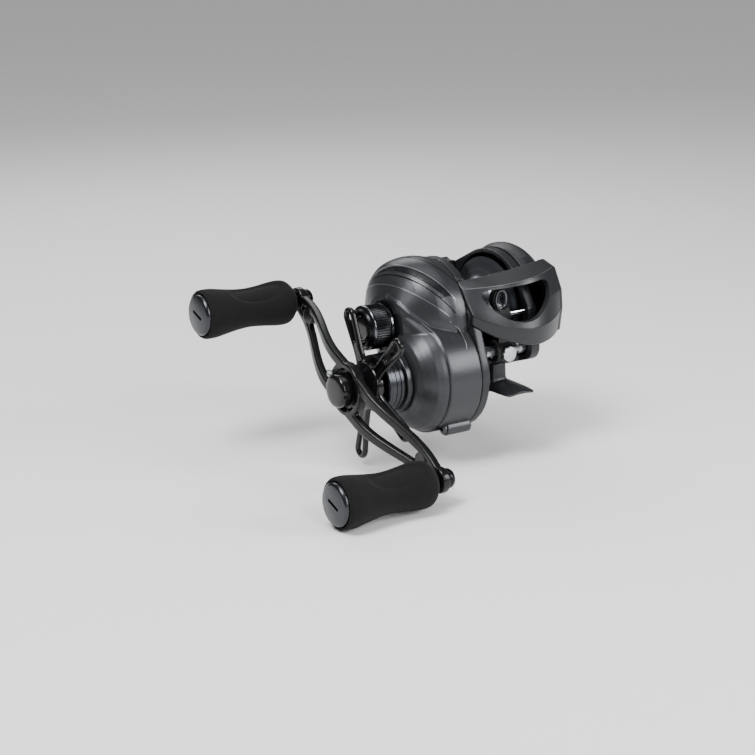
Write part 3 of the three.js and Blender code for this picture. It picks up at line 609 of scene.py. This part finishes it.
def hood_solid(x0, inset, reach, end):
    stations = list(np.linspace(x0, 23 if end else 23.6, 44))
    sections = [hood_section(x, inset, reach) for x in stations]
    if end:
        for k in range(1, 9):
            t = k / 8
            sections.append(hood_section(23 + (HOOD_END - 23) * math.sin(t * math.pi / 2),
                                         inset + 2.8 * (1 - math.cos(t * math.pi / 2)), reach))
    return loft(sections)


def hood_room():
    return cut(hood_solid(-15.9, -4, 0.3, True), hood_solid(-20, 2.1, 9, False))


def build_frame():
    gear = plate(*GEAR_WALL, [(SHAFT, 21.2), *SIDE, (POD, 6.8), (GUIDE_ROD, 2.4)])
    palm = plate(*PALM_WALL, [*SIDE, (CHIN, 8.6), (WORM, 5.2), (GUIDE_ROD, 2.4)])
    cut(palm, rod(9, 15, 20.6, SPOOL, 160))
    belly = tube_ring(GEAR_WALL[1] - 1, PALM_WALL[0] + 1, 20.1, 21.6, SPOOL, 160)
    wedge = [SPOOL, axis_point(SPOOL, 60, 3.86), axis_point(SPOOL, 80, 4.7),
             axis_point(SPOOL, 60, 5.95)]
    cut(belly, prism(wedge, -30, 30), operation="INTERSECT")
    bridge = box((-13.6, 11), (22.2, 27.4), (15.5, 25.2))
    front = box((-13.6, 11), (-17, -14.2), (7.2, 9.4))
    body = skin(joined(gear, palm, belly, bridge, front), 0.36, 2)
    cut(body, rod(-12.5, 9.9, 20.1, SPOOL, 128), rod(-14.8, -12, 19.9, SPOOL, 128),
        rod(-17, -12, 5.3, SPOOL), rod(-17, -13, 5.5, SHAFT), rod(-17, 15, 2.9, WORM),
        box((-17, -12), (22.6, 26.6), (26.2, 37.4)), hood_room())
    return body


piece(build_frame(), "frame_body", "housing", GUNMETAL_PALM, ["frame"], 50)

# ---------- hood over the line guide ----------

WINDOW = [(-11.6, 35.2), (-10.4, 37.2), (-3, 38), (6, 38.6), (14, 39.4), (16.8, 38.8), (17.4, 35.8),
          (15, 31.6), (10.6, 27.8), (6, 26), (0, 26), (-5, 28), (-9.4, 31.6)]


def rounded_outline(points, rounds=3):
    for _ in range(rounds):
        out = []
        for (ax, az), (bx, bz) in zip(points, points[1:] + points[:1]):
            out += [(0.75 * ax + 0.25 * bx, 0.75 * az + 0.25 * bz),
                    (0.25 * ax + 0.75 * bx, 0.25 * az + 0.75 * bz)]
        points = out
    return points


def window_tool(front, back):
    """A cutter through the hood, wider in front than behind, for a bevelled bezel."""
    outline = rounded_outline(WINDOW)
    cx = sum(p[0] for p in outline) / len(outline)
    cz = sum(p[1] for p in outline) / len(outline)
    return loft([[(cx + (x - cx) * s, y, cz + (z - cz) * s) for x, z in outline]
                 for y, s in ((-45, front), (-12, back))])


def build_hood():
    body = cut(hood_solid(-15.6, 0, 0, True), hood_solid(-20, 1.8, 9, False))
    body = skin(body, 0.32, 3)
    cut(body, window_tool(1.12, 0.90))
    return body


def hood_line(k, dy, dz, r, x0, x1):
    return swept([(x, parabola(HOOD_LINES[k][0], x) + dy, parabola(HOOD_LINES[k][1], x) + dz)
                  for x in np.linspace(x0, x1, 40)], r, 10)


# Painted highlight along the hood's crease and painted shadow along its bevel seam: thin strips of
# light and near-black colour.
piece(hood_line(1, 0.28, -0.18, 0.26, -14.6, 22.6), "hood_crease_painted_highlight", "housing", PAINTED_HIGHLIGHT)
piece(hood_line(3, 0.16, 0.1, 0.24, -14.8, 22.8), "hood_bevel_painted_shadow", "housing", GROOVE)
piece(build_hood(), "hood_shell", "housing", HOOD, ["nose_hood"], 50)

# ---------- foot ----------

FOOT_ROWS = [(-32.2, 5.0, 0.9), (-31.8, 6.0, 1.2), (-27, 6.4, 1.8), (-22, 6.6, 2.0), (-12, 6.9, 2.1),
             (2, 7.0, 2.0), (16, 6.9, 2.1), (26, 6.5, 1.9), (31.2, 6.0, 1.3), (31.7, 5.2, 1.1)]


def foot_section(y, half, thick):
    sag = half * half / 48
    under = [(u * half, y, -sag * max(0.0, abs(u) - 0.25)) for u in np.linspace(-1, 1, 17)]
    crown = [(u * half, y, thick * (1 - 0.28 * u * u) - sag * abs(u) ** 1.3)
             for u in np.linspace(0.985, -0.985, 17)]
    return under + crown


def build_foot():
    rows = [(y, *between(FOOT_ROWS, y)) for y in np.linspace(-32.2, 31.7, 60)]
    blade = loft([foot_section(*row) for row in rows])
    pillars = []
    for y0, y1, top in ((-19, -10, 8.2), (14, 19, 11)):
        rings = []
        for z, flare in ((0.6, 2.2), (1.0, 1.3), (1.8, 0.6), (3.2, 0.2), (top, 0)):
            mid, half_y, half_x = (y0 + y1) / 2, (y1 - y0) / 2 + flare, 3.5 + flare
            rings.append([(half_x * math.copysign(abs(math.cos(a)) ** 0.5, math.cos(a)),
                           mid + half_y * math.copysign(abs(math.sin(a)) ** 0.5, math.sin(a)), z)
                          for a in np.linspace(0, TAU, 40, endpoint=False)])
        pillars.append(loft(rings))
    body = skin(joined(blade, *pillars), 0.22, 2)
    return cut(body, rod(-20, 20, 21.9, SPOOL, 160),
               box((-20, 20), (-17.3, 0), (6.9, 20)))


piece(build_foot(), "foot_blade", "housing", GUNMETAL_PALM, ["reel_foot"], 50)

# ---------- palm side ----------

PALM_CIRCLES = [(14.4, 2, 24, 22.4), (18.5, 3, 24.6, 23.0), (22.5, 3, 24.6, 21.8),
                (26, 3, 24.6, 18.6), (28.6, 3, 24.2, 14)]


def palm_solid(grow=0.0):
    rings = []
    for x in np.linspace(14.4, 28.6, 13):
        y, z, r = between(PALM_CIRCLES, x)
        rings.append(circle(x + (grow if x > 20 else 0), (y, z), r + grow, 120))
    rings += [circle(14.4, REAR, 8.4 + grow), circle(21.8 + grow, REAR, 7.4 + grow),
              circle(14.4, CHIN, 8.4 + grow), circle(21.6 + grow, CHIN, 7.4 + grow)]
    return hull(*rings)


def palm_panel(inner, outer, shrink):
    """Soft-touch panel let into the top of the palm cover."""
    shell = cut(palm_solid(outer), palm_solid(inner))
    x0, x1 = 15.3 + shrink, 20.2 - shrink
    ring = []
    for x in (x0, x1):
        a0, a1 = math.radians(52) + shrink * 0.04, math.radians(121) - shrink * 0.04
        pts = [(x, *axis_point((3, 24), 5, a0))]
        pts += [(x, *axis_point((3, 24), 40, a0 + (a1 - a0) * k / 12)) for k in range(13)]
        pts += [(x, *axis_point((3, 24), 5, a1))]
        ring.append(pts)
    return cut(shell, loft(ring), operation="INTERSECT")


def build_palm():
    body = skin(palm_solid(), 0.36, 3)
    inner = palm_solid(-1.8)
    cut(body, inner, box((0, 14.35), (-60, 60), (-60, 80)), box((0, 40), (-60, -12.7), (18.1, 60)),
        rod(27.2, 40, 9.0, SPOOL, 96), palm_panel(-0.6, 0.6, 0.0))
    piece(body, "palm_shell", "palm_side", GUNMETAL_PALM, ["palm_cover"], 50)
    piece(palm_panel(-0.58, -0.08, 0.12), "palm_panel", "palm_side", DECK)
    piece(cut(rod(25.4, 27.2, 9.6, SPOOL, 96), rod(24, 30, 2.4, SPOOL)), "dial_floor", "palm_side",
          PLASTIC)
    piece(rod(13.4, 29.6, 2.38, SPOOL, 48), "dial_spindle", "palm_side", ANODISED)


build_palm()


def dial_ridges(x, angle, r):
    return r + (0.16 * math.cos(40 * angle) if 7.8 < r and 28 < x < 30.2 else 0)


dial = turned([(27.5, 2.8), (27.5, 8.2), (27.9, 8.45), (28.2, 8.3), (30.0, 8.2), (30.4, 7.9),
               (30.8, 7.0), (30.8, 5.2), (30.4, 4.8), (30.4, 3.4), (30.7, 3.0), (30.7, 2.8)],
              SPOOL, 320, closed=True, wobble=dial_ridges)
piece(dial, "brake_dial_cap", "dial", GLOSS, ["brake_dial"])

# ---------- spool ----------

spool_profile = [
    (-12, 19.0), (-11.8, 19.2), (-11.1, 19.2), (-10.9, 18.9), (-10.2, 17.0), (-9.2, 14.6),
    (-8.0, 12.6), (-6.6, 11.2), (-5.0, 10.5), (-3.0, 10.3), (1.4, 10.3), (3.2, 10.6), (4.8, 11.4),
    (6.0, 12.7), (7.0, 14.6), (7.9, 17.0), (8.6, 18.9), (8.8, 19.2), (9.4, 19.2), (9.6, 19.0),
    (9.6, 17.6), (7.6, 16.0), (6.0, 12.5), (4.6, 9.4), (-0.4, 9.2), (-0.4, 3.4), (6, 3.4), (6, 1.8),
    (-10.4, 1.8), (-10.4, 3.4), (-2.6, 3.4), (-2.6, 9.2), (-7, 9.4), (-8.6, 12.5), (-10, 16.0),
    (-12, 17.6)]
piece(turned(spool_profile, SPOOL, 160, closed=True), "spool_body", "line_spool",
      SPOOL_FINISH, ["spool"], 30)

# ---------- thumb bar ----------

THUMB = [(21.8, 38.8), (23.2, 38.2), (25.4, 38.4), (27.2, 39.2), (28, 38), (28, 31.2), (23.2, 31.2)]
pad = rounded(prism(THUMB, -12.2, 9.6), 0.6, 3)
tab = box((-15.8, -11.6), (23.2, 26), (32.6, 36.4))
ribs = [swept([(x, 22.6, 38.75), (x, 24.4, 38.5), (x, 26.4, 39.0)], 0.28, 10)
        for x in np.arange(-8, 6, 1.6)]
piece(skin(joined(pad, tab, *ribs), 0.2, 1), "thumb_bar_pad", "thumb_rest", DECK,
      ["thumb_bar"], 50)

# ---------- handle ----------

HUB_FACE = -61.6
SWEEP = 8.0  # how much nearer the body the arm ends sit than the hub
THICK = 3.0


def along(u, v):
    c, s = math.cos(HANDLE_ANGLE), math.sin(HANDLE_ANGLE)
    return SHAFT[0] + u * c - v * s, SHAFT[1] + u * s + v * c


def swept_x(u):
    return HUB_FACE + SWEEP * smooth01((abs(u) - 11) / (HANDLE_R - 16))


def beam(side, edge):
    rings = []
    for k in range(31):
        t = k / 30
        u = 5 + (HANDLE_R - 6) * t
        bow = 1.1 * math.sin(math.pi * t)
        inner, outer = 4.6 * (1 - t) + 0.6 * t + bow, 8.8 * (1 - t) + 3.4 * t + bow
        mid, half = (inner + outer) / 2, (outer - inner) / 2
        x = swept_x(u)
        ring = []
        for a in np.linspace(0, TAU, 24, endpoint=False):
            ca, sa = math.cos(a), math.sin(a)
            dv = half * math.copysign(abs(ca) ** 0.45, ca)
            dx = THICK / 2 * (1 + math.copysign(abs(sa) ** 0.45, sa))
            ring.append((x + dx, *along(side * u, edge * (mid + dv))))
        rings.append(ring)
    return loft(rings)


KNOBS = {"a": along(HANDLE_R, 0), "b": along(-HANDLE_R, 0)}
EYE = (HUB_FACE + SWEEP, HUB_FACE + SWEEP + THICK)


def build_handle():
    hub = turned([(-60.0, 0), (-60.0, 7.4), (-61.3, 7.7), (-61.6, 8.2), (-61.6, 9.4), (-61.2, 9.8),
                  (-58.2, 9.8), (-56.4, 7.0), (-56.4, 0)], SHAFT, 128)
    parts = [hub] + [beam(s, e) for s in (-1, 1) for e in (-1, 1)]
    parts += [turned([(EYE[0], 0), (EYE[0], 4.2), (EYE[0] + 0.4, 4.6), (EYE[1] - 0.4, 4.6),
                      (EYE[1], 4.2), (EYE[1], 0)], axis, 64) for axis in KNOBS.values()]
    parts += [rod(swept_x(40), swept_x(40) + THICK, 3.2, along(s * 40, 0), 40) for s in (-1, 1)]
    body = skin(joined(*parts), 0.26, 1)
    return cut(body, rod(-70, -50, 2.85, SHAFT), *[rod(-60, -40, 2.2, k) for k in KNOBS.values()])


piece(build_handle(), "handle_arms", "crank", SATIN_BLACK, ["handle"], 50)

nut = turned([(-62.0, 0), (-62.0, 3.0), (-60.3, 3.0), (-60.3, 6.0), (-61.0, 6.05), (-61.1, 5.85),
              (-61.4, 5.85), (-61.5, 6.05), (-64.6, 6.05), (-65.2, 5.8), (-65.6, 5.2), (-65.8, 4.0),
              (-65.9, 2.0), (-65.9, 0)], SHAFT, 96)
piece(nut, "nut_cap", "crank", GLOSS, ["handle_nut_cap"])
retainer = axis_point(SHAFT, 8.6, HANDLE_ANGLE + 0.05)
screw = turned([(-63.2, 0), (-63.2, 1.0), (-63.0, 1.15), (-61.9, 1.15), (-61.9, 0)], retainer, 32)
cut(screw, box((-63.6, -62.8), (retainer[0] - 0.8, retainer[0] + 0.8),
               (retainer[1] - 0.18, retainer[1] + 0.18)))
piece(screw, "retainer_screw_head", "crank", STEEL, ["retainer_screw"])

for tag, axis in KNOBS.items():
    post = turned([(-90, 0), (-90, 1.9), (-56, 1.9), (-56, 2.8), (-53.9, 2.8), (-53.9, 1.9),
                   (-50.3, 1.9), (-50.3, 3.4), (-49.9, 3.6), (-48.4, 3.5), (-47.6, 2.9), (-47.4, 2.0),
                   (-47.4, 0)], axis, 64)
    piece(post, f"knob_post_turned_{tag}", "crank", ANODISED, [f"knob_post_{tag}"])

# ---------- knobs ----------

GRIP = [(-93.6, 8.5), (-92.9, 8.9), (-91.5, 9.0), (-89, 8.9), (-85.5, 8.35), (-82, 7.8), (-78.5, 7.35),
        (-75, 7.15), (-71.5, 7.3), (-68, 7.65), (-65, 8.05), (-62, 8.3), (-60, 8.25), (-58.6, 7.9),
        (-57.4, 7.0), (-56.3, 5.8)]
SLOT_ANGLE = 0.35

for tag, axis in KNOBS.items():
    facing = HANDLE_ANGLE + (math.pi / 2)

    def scooped(x, angle, r, facing=facing):
        """A flat scooped into the upper side of the grip, for the thumb."""
        turn = (angle - facing + math.pi) % TAU - math.pi
        inside = 1 - ((x + 71.5) / 12.5) ** 2 - (turn / 0.72) ** 2
        depth = 0.95 * smooth01(inside / 0.4)
        return r - depth if r > 6 else r

    dense = [(x, between(GRIP, x)[0]) for x in np.linspace(-93.6, -56.3, 70)]
    grip = turned([*dense, (-56.3, 4.3), (-89.4, 4.3), (-89.4, 7.9), (-93.6, 7.9)], axis, 96,
                  closed=True, wobble=scooped)
    piece(grip, f"eva_grip_{tag}", f"knob_{tag}", EVA, [f"grip_{tag}"], 50)
    cap = turned([(-95.1, 0), (-95.1, 6.5), (-94.9, 6.9), (-94.3, 7.45), (-93.4, 7.5), (-90.3, 7.5),
                  (-90.3, 0)], axis, 96)
    c, s = math.cos(SLOT_ANGLE), math.sin(SLOT_ANGLE)
    slot_at = [(axis[0] + 3.1 * c * a - 0.55 * s * b, axis[1] + 3.1 * s * a + 0.55 * c * b)
               for a, b in ((-1, -1), (1, -1), (1, 1), (-1, 1))]
    cut(cap, prism(slot_at, -96, -94.3))
    piece(cap, f"grip_end_cap_{tag}", f"knob_{tag}",
          look(f"turned_cap_{tag}", (0.085, 0.088, 0.096), 0.95, 0.26, dark=(0.03, 0.031, 0.035),
               grain=9000, bump=0.05, brushed=axis), [f"grip_cap_{tag}"])

# ---------- star drag ----------

STAR_R = 29.0
STAR_START = 1.106
LOOP_R = 2.3


def loop_path(angle):
    """Centre line of one looped arm: out, round the tip, and back."""
    side = [(7, 2.0), (11, 1.45), (15, 1.5), (19, 1.8), (23, 2.1)]
    pts = [(r, -v) for r, v in side]
    tip = STAR_R - 1.1 - LOOP_R
    for k in range(9):
        a = -math.pi / 2 + math.pi * k / 8
        pts.append((tip + LOOP_R * math.cos(a), LOOP_R * math.sin(a)))
    pts += reversed(side)
    c, s = math.cos(angle), math.sin(angle)
    return [(-51.25, SHAFT[0] + r * c - v * s, SHAFT[1] + r * s + v * c) for r, v in pts]


def build_star():
    hub = turned([(-54.6, 0), (-54.6, 5.0), (-54.2, 5.6), (-52.9, 8.4), (-52.5, 8.7), (-50.1, 8.7),
                  (-49.8, 8.4), (-49.8, 0)], SHAFT, 96)
    arms = []
    for k in range(5):
        angle = STAR_START + TAU * k / 5
        arms.append(swept(loop_path(angle), 1.12, 14))
        web = []
        for r, half in ((6, 2.6), (10, 1.5), (14, 1.0), (16, 0.6)):
            c, s = math.cos(angle), math.sin(angle)
            web.append([(x, SHAFT[0] + r * c - v * s, SHAFT[1] + r * s + v * c)
                        for x, v in ((-52.2, -half), (-50.3, -half), (-50.3, half), (-52.2, half))])
        arms.append(loft(web))
    body = skin(joined(hub, *arms), 0.28, 2)
    return cut(body, rod(-60, -45, 2.85, SHAFT))


piece(build_star(), "star_wheel", "star", GLOSS, ["star_drag"], 50)

# ---------- spool tension knob ----------


def knurl(x, angle, r):
    return r - (0.26 * (0.5 + 0.5 * math.cos(56 * angle)) if -45.7 < x < -39.9 and r > 7.9 else 0)


cap = turned([(-46.2, 0), (-46.2, 5.5), (-47.6, 5.7), (-47.9, 5.95), (-47.9, 6.3), (-47.5, 6.8),
              (-47.3, 6.9), (-46.9, 7.2), (-46.6, 7.95), (-46.3, 8.15), (-45.9, 8.2), (-45.8, 7.95),
              (-45.6, 7.95), (-45.5, 8.15), (-43, 8.15), (-40.1, 8.15), (-39.9, 7.9), (-39.6, 7.9),
              (-39.5, 8.15), (-39.3, 8.2), (-38.5, 8.2), (-38.2, 8.0), (-38.2, 5.9), (-45.4, 5.9),
              (-45.4, 0)], SPOOL, 448, wobble=knurl)
piece(cap, "tension_knob_body", "tension_knob", ANODISED, ["tension_cap"], 35)
for name, profile in (
        ("tension_rim_ring", [(-46.75, 7.5), (-46.6, 8.02), (-46.3, 8.25), (-45.95, 8.27),
                              (-45.9, 8.1), (-46.2, 7.6)]),
        ("tension_base_bright_ring", [(-39.35, 8.1), (-39.25, 8.3), (-38.5, 8.3), (-38.4, 8.1)])):
    piece(turned(profile, SPOOL, 128, closed=True), name, "tension_knob", DARK_CHROME)
insert = turned([(-47.1, 0), (-47.1, 4.2), (-47.35, 4.3), (-47.5, 4.6), (-47.35, 5.0), (-46.9, 5.1),
                 (-46.5, 5.1), (-46.5, 0)], SPOOL, 96)
piece(insert, "tension_knob_face", "tension_knob", GLOSS, ["tension_cap_insert"])

piece(tube_ring(-47.62, -47.3, 3.7, 4.0, SPOOL), "tension_face_ring", "tension_knob",
      DARK_CHROME)

# ---------- line guide ----------

GUIDE_X = -1.0
RING = (-18.2, 32.8)


def oval_ring(y, rx, rz, segs=64):
    return [(GUIDE_X + rx * math.cos(TAU * i / segs), y, RING[1] + rz * math.sin(TAU * i / segs))
            for i in range(segs)]


def build_guide():
    nut_part = rod(GUIDE_X - 3.4, GUIDE_X + 3.4, 4.1, WORM)
    neck = bar((GUIDE_X, WORM[0], WORM[1]), (GUIDE_X, -24.4, WORM[1]), 2.6)
    sleeve = rod(GUIDE_X - 3.4, GUIDE_X + 3.4, 2.0, GUIDE_ROD)
    post = box((GUIDE_X - 2.2, GUIDE_X + 2.2), (-21.9, -18.2), (15, 29.8))
    holder = loft([oval_ring(RING[0] - 1.2, 3.1, 3.95), oval_ring(RING[0] + 1.5, 3.3, 4.2)])
    body = skin(joined(nut_part, neck, sleeve, post, holder), 0.2, 3)
    return cut(body, rod(-10, 8, 2.65, WORM), rod(-10, 8, 1.4, GUIDE_ROD),
               loft([oval_ring(-26, 2.8, 3.75), oval_ring(-10, 2.8, 3.75)]))


piece(build_guide(), "guide_carriage_body", "guide_carriage", PLASTIC, ["line_guide"], 50)
eyelet = []
for k in range(13):
    a = math.pi * k / 12
    y = RING[0] - 1.9 * math.cos(a)
    inner = 1.75 + 0.5 * (1 - math.sin(a)) ** 2
    eyelet.append(oval_ring(y, inner, inner + 0.95))
eyelet += [oval_ring(RING[0] + dy, rx, rx + 0.95)
           for dy, rx in ((1.9, 2.55), (1.5, 2.6), (-1.5, 2.6), (-1.9, 2.55))]
verts = [p for ring in eyelet for p in ring]
index = [list(range(k * 64, k * 64 + 64)) for k in range(len(eyelet))]
piece(new_object("eyelet", verts, ring_faces(index, True)), "line_guide_eyelet", "guide_carriage",
      CERAMIC, ["line_guide_ring"])
pawl = bar((GUIDE_X, -24.7, WORM[1]), (GUIDE_X, -25.9, WORM[1]), 2.9, 64)
piece(rounded(pawl, 0.3, 3), "pawl_cap_bright", "guide_carriage", CHROME, ["pawl_cap"])
piece(rod(-12.3, 9.7, 1.1, GUIDE_ROD, 48), "guide_rod_polished", "housing", CHROME,
      ["level_wind_rod"])

# ---------- stage, light and camera ----------

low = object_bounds()[0]
floor_mesh = bpy.data.meshes.new("floor")
floor_mesh.from_pydata([(-9, -9, 0), (9, -9, 0), (9, 9, 0), (-9, 9, 0)], [], [(0, 1, 2, 3)])
floor = bpy.data.objects.new("floor", floor_mesh)
bpy.context.scene.collection.objects.link(floor)
floor.location.z = low.z - 0.0002
floor_mat = bpy.data.materials.new("pale_floor")
floor_mat.use_nodes = True
floor_inputs = floor_mat.node_tree.nodes["Principled BSDF"].inputs
floor_inputs["Base Color"].default_value = (0.92, 0.92, 0.92, 1)
floor_inputs["Roughness"].default_value = 0.8
floor_mesh.materials.append(floor_mat)

world = bpy.data.worlds.new("studio")
world.use_nodes = True
world.node_tree.nodes["Background"].inputs["Color"].default_value = (1, 1, 1, 1)
world.node_tree.nodes["Background"].inputs["Strength"].default_value = 0.15
bpy.context.scene.world = world


def area(name, position, target, size, power):
    data = bpy.data.lights.new(name, "AREA")
    data.shape, data.size, data.size_y, data.energy = "RECTANGLE", size[0], size[1], power
    ob = bpy.data.objects.new(name, data)
    bpy.context.scene.collection.objects.link(ob)
    ob.location = position
    ob.rotation_mode = "QUATERNION"
    ob.rotation_quaternion = (Vector(target) - Vector(position)).to_track_quat("-Z", "Y")


area("key", (-0.42, -0.10, 0.62), (-0.02, 0, 0.02), (0.26, 0.34), 5.6)
area("side", (-0.10, -0.62, 0.34), (-0.02, 0, 0.02), (0.16, 0.40), 2.2)
area("palm", (0.36, -0.46, 0.27), (-0.02, -0.01, 0.015), (0.13, 0.30), 2.6)
area("back", (0.1, 0.5, 0.45), (0, 0, 0.02), (0.5, 0.3), 1.6)
sun_data = bpy.data.lights.new("overhead", "SUN")
sun_data.energy, sun_data.angle = 0.9, math.radians(50)
sun = bpy.data.objects.new("overhead", sun_data)
bpy.context.scene.collection.objects.link(sun)
sun.location = (0, 0, 1)

camera_data = bpy.data.cameras.new("camera")
camera = bpy.data.objects.new("camera", camera_data)
bpy.context.scene.collection.objects.link(camera)
CAMERA_TURN = 34.28  # degrees clockwise from +Y, seen from above
CAMERA_DIP = 16.46  # degrees below level
camera.location = (-0.3769, -0.4918, 0.1811)
camera.rotation_euler = (math.radians(90 - CAMERA_DIP), 0, -math.radians(CAMERA_TURN))
camera_data.lens = 81.474
camera_data.sensor_width = 36
camera_data.clip_start, camera_data.clip_end = 0.01, 20
bpy.context.scene.camera = camera
